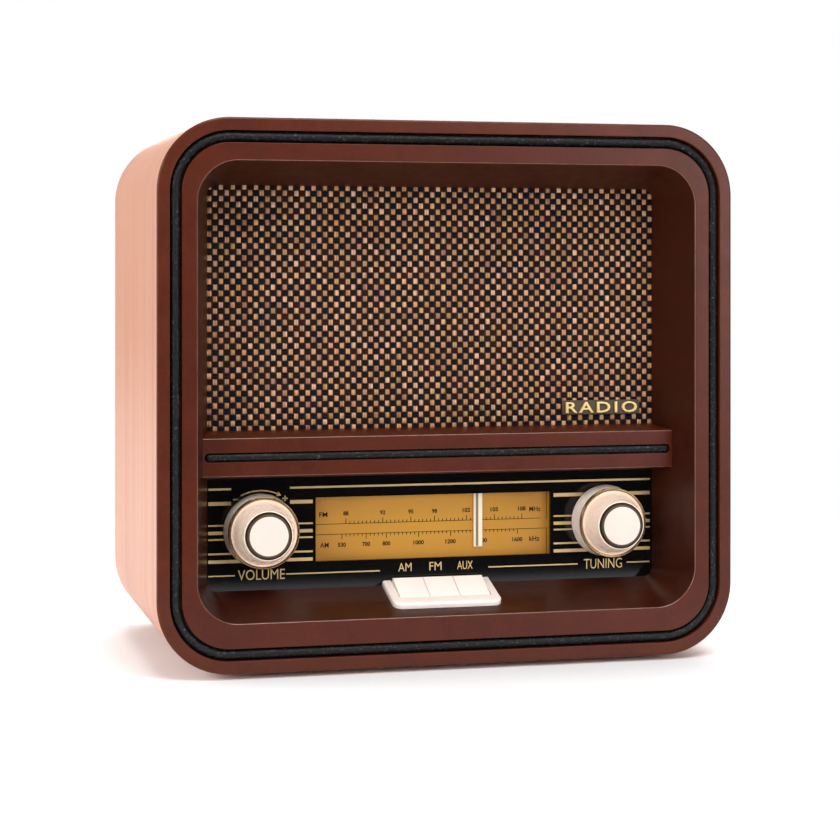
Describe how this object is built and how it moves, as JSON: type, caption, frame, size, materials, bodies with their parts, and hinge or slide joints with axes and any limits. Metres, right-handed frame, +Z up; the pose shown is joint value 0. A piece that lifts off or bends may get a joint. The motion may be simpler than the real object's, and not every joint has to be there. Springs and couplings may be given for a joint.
{
  "type": "table radio",
  "caption": "Retro table radio with a veneered cabinet, recessed grille cloth, backlit tuning dial, two knobs and piano keys.",
  "frame": {"origin": "middle of the footprint, on the surface that the feet stand on", "axes": "+X to the right seen from the front, +Y to the back, +Z up"},
  "size_m": [0.32, 0.19, 0.295],
  "materials": {
    "veneer": "satin veneer",
    "lacquered_wood": "satin mahogany lacquer",
    "mahogany_moulding": "gloss",
    "black_piping": "grained",
    "grille_weave": "woven",
    "gilt": "polished",
    "fibreboard": "raw",
    "grey_steel": "painted",
    "bright_steel": "plated",
    "paper_cone": "matte",
    "black_rubber": "matte",
    "ferrite": "sintered",
    "black_gloss": "gloss",
    "clear": "clear",
    "amber_print": "printed",
    "white_plastic": "matte",
    "cream_plastic": "gloss",
    "pointer_cream": "gloss",
    "dial_cord_fibre": "braided",
    "green_board": "solder mask",
    "component": "matte",
    "copper_winding": "enamelled",
    "black_plastic": "matte",
    "hardboard": "painted"
  },
  "bodies": {
    "cabinet": {"aerial_coil": "copper_winding", "baffle_board": "fibreboard", "bar_piping": "black_piping", "board_components": "component", "cabinet_shell": "veneer", "chassis": "bright_steel", "chassis_mounts": "black_plastic", "chassis_runners": "fibreboard", "control_nuts": "bright_steel", "dial_cord": "dial_cord_fibre", "dial_lamps": "white_plastic", "dial_panel": "black_gloss", "dial_scale": "amber_print", "dial_window": "clear", "feet": "black_rubber", "ferrite_rod": "ferrite", "front_frame": "mahogany_moulding", "front_rim": "lacquered_wood", "grille_badge": "gilt", "grille_cloth": "grille_weave", "key_board": "green_board", "key_pin": "bright_steel", "key_springs": "bright_steel", "key_tray": "cream_plastic", "light_box": "white_plastic", "main_board": "green_board", "mains_inlet": "black_plastic", "pointer_rail": "bright_steel", "rear_batten": "fibreboard", "rear_panel": "hardboard", "rim_piping": "black_piping", "rocker_housing": "black_plastic", "screws": "bright_steel", "speaker_basket": "grey_steel", "speaker_cone": "paper_cone", "speaker_dust_cap": "paper_cone", "speaker_magnet": "ferrite", "speaker_surround": "black_rubber", "spindle_bush": "gilt", "transformer_core": "grey_steel", "transformer_winding": "copper_winding", "tuning_capacitor": "bright_steel", "usb_socket": "bright_steel", "volume_pot": "bright_steel"},
    "volume_knob": {"volume_knob_body": "cream_plastic", "volume_knob_ring": "gilt", "volume_knob_cap": "cream_plastic", "volume_shaft": "bright_steel"},
    "tuning_knob": {"tuning_knob_body": "cream_plastic", "tuning_knob_ring": "gilt", "tuning_knob_cap": "cream_plastic", "tuning_spindle": "bright_steel"},
    "pointer": {"dial_pointer": "pointer_cream"},
    "drum": {"tuning_drum": "white_plastic"},
    "pulley_left": {"left_pulley": "white_plastic"},
    "pulley_right": {"right_pulley": "white_plastic"},
    "key_left": {"left_key": "cream_plastic"},
    "key_middle": {"middle_key": "cream_plastic"},
    "key_right": {"right_key": "cream_plastic"},
    "rocker": {"power_rocker": "black_gloss"}
  },
  "joints": [
    {"name": "volume_turn", "type": "hinge", "parent": "cabinet", "child": "volume_knob", "pos_m": [-0.099, -0.065, 0.0737], "axis": [0, 1, 0], "range_deg": [-150, 150]},
    {"name": "tuning_turn", "type": "hinge", "parent": "cabinet", "child": "tuning_knob", "pos_m": [0.099, -0.065, 0.0737], "axis": [0, 1, 0], "range_deg": [-1349.5, 467]},
    {"name": "pointer_slide", "type": "slide", "parent": "cabinet", "child": "pointer", "axis": [1, 0, 0], "range_m": [-0.0755, 0.0262]},
    {"name": "drum_turn", "type": "hinge", "parent": "cabinet", "child": "drum", "pos_m": [0.025, -0.0375, 0.061], "axis": [0, 1, 0], "range_deg": [-133.1, 46.3]},
    {"name": "left_pulley_turn", "type": "hinge", "parent": "cabinet", "child": "pulley_left", "pos_m": [-0.086, -0.0375, 0.104], "axis": [0, 1, 0], "range_deg": [-745.5, 258.5]},
    {"name": "right_pulley_turn", "type": "hinge", "parent": "cabinet", "child": "pulley_right", "pos_m": [0.086, -0.0375, 0.104], "axis": [0, 1, 0], "range_deg": [-745.5, 258.5]},
    {"name": "left_key_press", "type": "hinge", "parent": "cabinet", "child": "key_left", "pos_m": [-0.017, -0.07704, 0.03658], "axis": [-1, 0, 0], "range_deg": [0, 6], "stiffness_Nm_per_rad": 0.15, "springref_deg": -5.73},
    {"name": "middle_key_press", "type": "hinge", "parent": "cabinet", "child": "key_middle", "pos_m": [0, -0.07704, 0.03658], "axis": [-1, 0, 0], "range_deg": [0, 6], "stiffness_Nm_per_rad": 0.15, "springref_deg": -5.73, "deforming": ["key_springs"]},
    {"name": "right_key_press", "type": "hinge", "parent": "cabinet", "child": "key_right", "pos_m": [0.017, -0.07704, 0.03658], "axis": [-1, 0, 0], "range_deg": [0, 6], "stiffness_Nm_per_rad": 0.15, "springref_deg": -5.73},
    {"name": "rocker_tip", "type": "hinge", "parent": "cabinet", "child": "rocker", "pos_m": [-0.068, 0.085, 0.05], "axis": [-1, 0, 0], "range_deg": [0, 16]}
  ],
  "couplings": [
    {"joint": "pointer_slide", "follows": "tuning_turn", "m_per_rad": 0.0032},
    {"joint": "drum_turn", "follows": "tuning_turn", "ratio": 0.098462},
    {"joint": "left_pulley_turn", "follows": "tuning_turn", "ratio": 0.55172},
    {"joint": "right_pulley_turn", "follows": "tuning_turn", "ratio": 0.55172}
  ]
}
